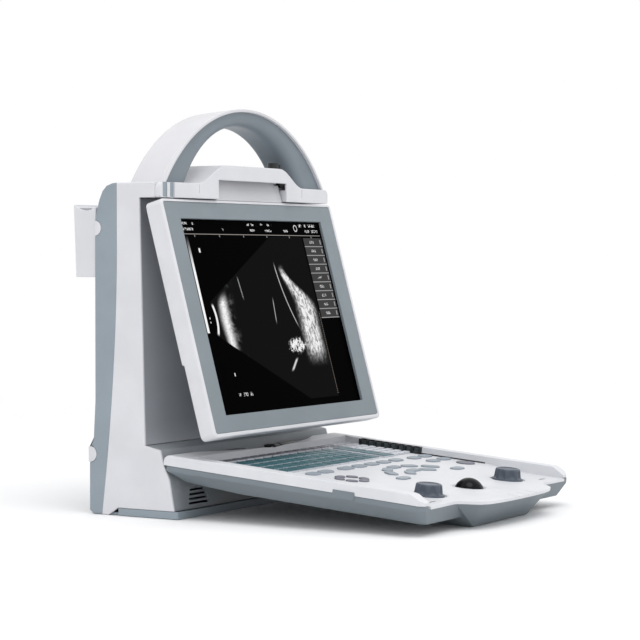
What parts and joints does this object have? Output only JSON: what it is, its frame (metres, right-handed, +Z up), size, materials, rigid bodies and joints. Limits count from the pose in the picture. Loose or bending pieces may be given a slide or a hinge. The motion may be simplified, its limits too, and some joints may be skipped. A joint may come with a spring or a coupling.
{
  "type": "portable ultrasound scanner",
  "caption": "Upright portable scanner with an arched carry handle, a screen hung from the top that tilts out and a hinged keyboard with a tracking ball in front.",
  "frame": {"origin": "on the table under the middle of the housing, on the base plate's underside", "axes": "+X to the operator's right, +Y to the back, +Z up"},
  "size_m": [0.298, 0.3913, 0.3778],
  "materials": {
    "white_plastic": "fine satin texture",
    "handle_white": "fine satin texture",
    "hinge_plastic": "fine satin texture",
    "grey_plastic": "fine satin texture",
    "grip_plastic": "satin",
    "panel_plastic": "satin",
    "bezel_plastic": "satin",
    "tray_plastic": "satin",
    "deck_plastic": "fine satin texture",
    "pad_rubber": "matte",
    "black_plastic": "satin",
    "fan_plastic": "satin",
    "nickel": "plated",
    "steel": "turned",
    "hinge_metal": "black coat",
    "case_metal": "sheet",
    "board": "solder mask",
    "display": "anti-glare, lit",
    "ball_gloss": "polished",
    "knob_plastic": "satin",
    "slider_plastic": "satin",
    "key_dark": "satin",
    "key_teal": "satin",
    "key_white": "satin",
    "key_pale": "satin"
  },
  "bodies": {
    "housing": {"front_shell": "white_plastic", "rear_shell": "grey_plastic", "recess_panel": "panel_plastic", "base_plate": "grey_plastic", "base_pads": "pad_rubber", "hood_cover": "white_plastic", "handle_shell": "handle_white", "handle_grip": "grip_plastic", "rear_bumpers": "white_plastic", "probe_holder": "white_plastic", "fuse_cap": "black_plastic", "mains_inlet": "black_plastic", "video_jack": "nickel", "earth_post": "nickel", "probe_ports": "nickel", "fan_frame": "black_plastic", "main_board": "board", "power_supply": "case_metal", "shell_screws": "steel", "keyboard_brackets": "hinge_metal", "keyboard_pins": "steel", "screen_pin": "steel", "top_jack": "black_plastic"},
    "screen": {"screen_shell": "white_plastic", "screen_bezel": "bezel_plastic", "screen_back": "white_plastic", "lcd_panel": "display", "lcd_frame": "case_metal", "screen_board": "board", "hinge_block": "hinge_plastic"},
    "keyboard": {"keyboard_top": "deck_plastic", "keyboard_base": "tray_plastic", "keyboard_board": "board", "keyboard_knuckles": "hinge_metal", "tgc_housing": "black_plastic", "finger_tab": "tray_plastic", "ball_ring": "deck_plastic"},
    "latch_slide": {"latch_slide": "white_plastic"},
    "power_rocker": {"power_rocker": "black_plastic"},
    "fan_rotor": {"fan_rotor": "fan_plastic"},
    "trackball": {"trackball": "ball_gloss"},
    "knob_left": {"knob_left": "knob_plastic"},
    "knob_right": {"knob_right": "knob_plastic"},
    "tgc_slider_1": {"tgc_slider_1": "slider_plastic"},
    "tgc_slider_2": {"tgc_slider_2": "slider_plastic"},
    "tgc_slider_3": {"tgc_slider_3": "slider_plastic"},
    "tgc_slider_4": {"tgc_slider_4": "slider_plastic"},
    "tgc_slider_5": {"tgc_slider_5": "slider_plastic"},
    "tgc_slider_6": {"tgc_slider_6": "slider_plastic"},
    "tgc_slider_7": {"tgc_slider_7": "slider_plastic"},
    "tgc_slider_8": {"tgc_slider_8": "slider_plastic"},
    "keys_function": {"keys_function": "key_dark"},
    "keys_row_1": {"keys_row_1": "key_teal"},
    "keys_row_2": {"keys_row_2": "key_teal"},
    "keys_row_3": {"keys_row_3": "key_teal"},
    "keys_row_4": {"keys_row_4": "key_teal"},
    "keys_small": {"keys_small": "key_white"},
    "keys_oval": {"keys_oval": "key_pale"},
    "keys_arc": {"keys_arc": "key_pale"},
    "keys_cursor": {"keys_cursor": "key_dark"}
  },
  "joints": [
    {"name": "screen_tilt", "type": "hinge", "parent": "housing", "child": "screen", "pos_m": [0, -0.01951, 0.31205], "axis": [1, 0, 0], "range_deg": [0, 13]},
    {"name": "keyboard_fold", "type": "hinge", "parent": "housing", "child": "keyboard", "pos_m": [0, -0.0415, 0.0505], "axis": [-1, 0, 0], "range_deg": [0, 20]},
    {"name": "latch_travel", "type": "slide", "parent": "housing", "child": "latch_slide", "axis": [1, 0, 0], "range_m": [-0.005, 0.005]},
    {"name": "rocker_tilt", "type": "hinge", "parent": "housing", "child": "power_rocker", "pos_m": [0.103, 0.0444, 0.03], "axis": [1, 0, 0], "range_deg": [0, 16]},
    {"name": "fan_spin", "type": "hinge", "parent": "housing", "child": "fan_rotor", "pos_m": [-0.104, 0.03, 0.034], "axis": [0, 1, 0], "continuous": true},
    {"name": "ball_roll", "type": "hinge", "parent": "keyboard", "child": "trackball", "pos_m": [0, -0.268, 0.02305], "axis": [1, 0, 0], "continuous": true},
    {"name": "knob_left_turn", "type": "hinge", "parent": "keyboard", "child": "knob_left", "pos_m": [-0.078, -0.2687, 0.03142], "axis": [0, -0.0837, 0.9965], "continuous": true},
    {"name": "knob_right_turn", "type": "hinge", "parent": "keyboard", "child": "knob_right", "pos_m": [0.078, -0.2687, 0.03142], "axis": [0, -0.0837, 0.9965], "continuous": true},
    {"name": "tgc_travel_1", "type": "slide", "parent": "keyboard", "child": "tgc_slider_1", "axis": [1, 0, 0], "range_m": [0, 0.003]},
    {"name": "tgc_travel_2", "type": "slide", "parent": "keyboard", "child": "tgc_slider_2", "axis": [1, 0, 0], "range_m": [0, 0.003]},
    {"name": "tgc_travel_3", "type": "slide", "parent": "keyboard", "child": "tgc_slider_3", "axis": [1, 0, 0], "range_m": [0, 0.003]},
    {"name": "tgc_travel_4", "type": "slide", "parent": "keyboard", "child": "tgc_slider_4", "axis": [1, 0, 0], "range_m": [0, 0.003]},
    {"name": "tgc_travel_5", "type": "slide", "parent": "keyboard", "child": "tgc_slider_5", "axis": [1, 0, 0], "range_m": [0, 0.003]},
    {"name": "tgc_travel_6", "type": "slide", "parent": "keyboard", "child": "tgc_slider_6", "axis": [1, 0, 0], "range_m": [0, 0.003]},
    {"name": "tgc_travel_7", "type": "slide", "parent": "keyboard", "child": "tgc_slider_7", "axis": [1, 0, 0], "range_m": [0, 0.003]},
    {"name": "tgc_travel_8", "type": "slide", "parent": "keyboard", "child": "tgc_slider_8", "axis": [1, 0, 0], "range_m": [0, 0.003]},
    {"name": "keys_function_press", "type": "slide", "parent": "keyboard", "child": "keys_function", "axis": [0, 0.0837, -0.9965], "range_m": [0, 0.0015], "stiffness_N_per_m": 400, "springref_m": -0.001},
    {"name": "keys_row_1_press", "type": "slide", "parent": "keyboard", "child": "keys_row_1", "axis": [0, 0.0837, -0.9965], "range_m": [0, 0.0015], "stiffness_N_per_m": 400, "springref_m": -0.001},
    {"name": "keys_row_2_press", "type": "slide", "parent": "keyboard", "child": "keys_row_2", "axis": [0, 0.0837, -0.9965], "range_m": [0, 0.0015], "stiffness_N_per_m": 400, "springref_m": -0.001},
    {"name": "keys_row_3_press", "type": "slide", "parent": "keyboard", "child": "keys_row_3", "axis": [0, 0.0837, -0.9965], "range_m": [0, 0.0015], "stiffness_N_per_m": 400, "springref_m": -0.001},
    {"name": "keys_row_4_press", "type": "slide", "parent": "keyboard", "child": "keys_row_4", "axis": [0, 0.0837, -0.9965], "range_m": [0, 0.0015], "stiffness_N_per_m": 400, "springref_m": -0.001},
    {"name": "keys_small_press", "type": "slide", "parent": "keyboard", "child": "keys_small", "axis": [0, 0.0837, -0.9965], "range_m": [0, 0.0015], "stiffness_N_per_m": 400, "springref_m": -0.001},
    {"name": "keys_oval_press", "type": "slide", "parent": "keyboard", "child": "keys_oval", "axis": [0, 0.0837, -0.9965], "range_m": [0, 0.0015], "stiffness_N_per_m": 400, "springref_m": -0.001},
    {"name": "keys_arc_press", "type": "slide", "parent": "keyboard", "child": "keys_arc", "axis": [0, 0.0837, -0.9965], "range_m": [0, 0.0015], "stiffness_N_per_m": 400, "springref_m": -0.001},
    {"name": "keys_cursor_press", "type": "slide", "parent": "keyboard", "child": "keys_cursor", "axis": [0, 0.0837, -0.9965], "range_m": [0, 0.0015], "stiffness_N_per_m": 400, "springref_m": -0.001}
  ]
}
